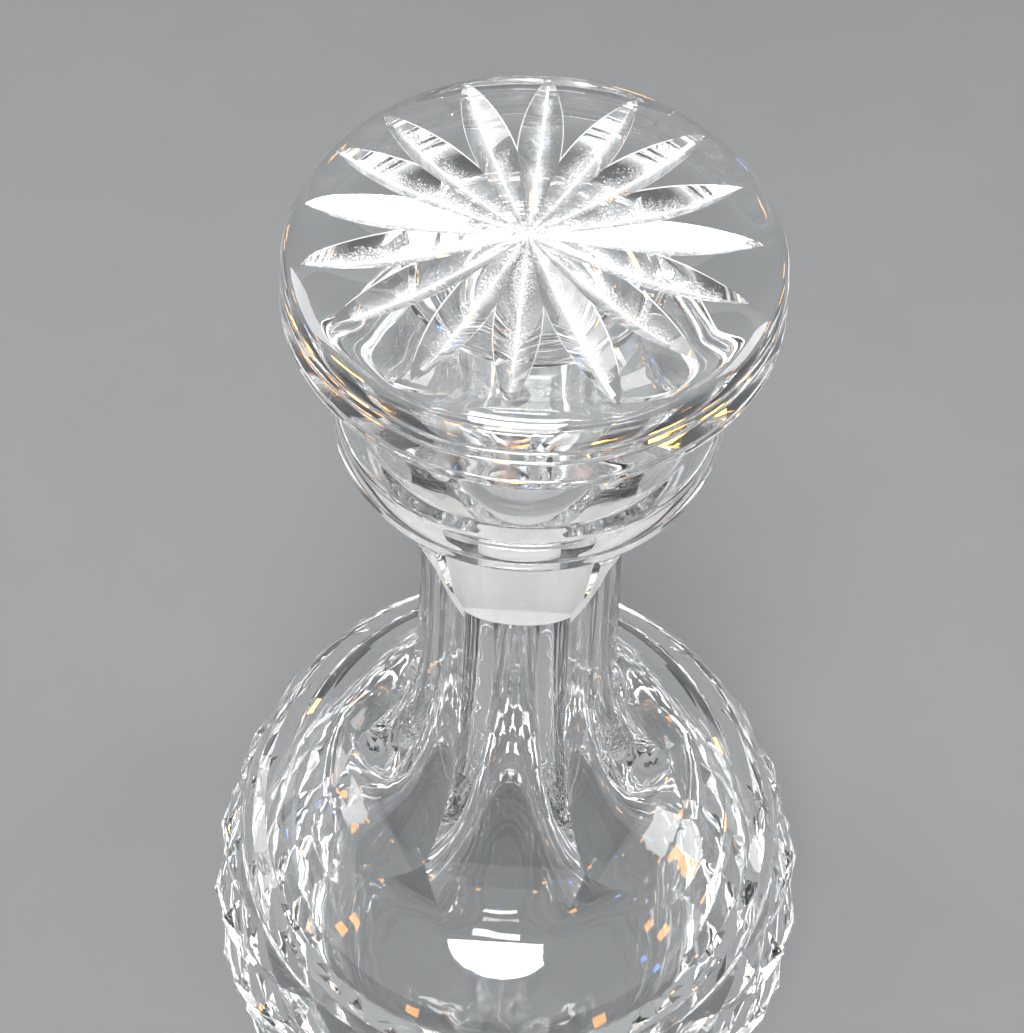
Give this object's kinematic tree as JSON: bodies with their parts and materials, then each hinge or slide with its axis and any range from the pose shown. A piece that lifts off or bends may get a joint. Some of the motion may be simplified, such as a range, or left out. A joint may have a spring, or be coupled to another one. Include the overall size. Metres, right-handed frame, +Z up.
{
  "type": "decanter",
  "caption": "Round-bodied cut-glass decanter with a six-sided neck, wide mouth and star-cut lift-out stopper, for holding and pouring drinks.",
  "frame": {"origin": "middle of the flat base, on the surface that the decanter stands on", "axes": "+Z up along the axis of the body, neck and stopper; -Y towards the viewer of the picture"},
  "size_m": [0.134, 0.1326, 0.256],
  "materials": {
    "vessel_crystal": "polished, mitre-cut",
    "stopper_crystal": "polished, mitre-cut, plug ground"
  },
  "bodies": {
    "vessel": {"vessel": "vessel_crystal"},
    "stopper": {"stopper": "stopper_crystal"}
  },
  "joints": [
    {"name": "stopper_lift", "type": "slide", "parent": "vessel", "child": "stopper", "axis": [0, 0, 1], "range_m": [0, 0.06]}
  ]
}
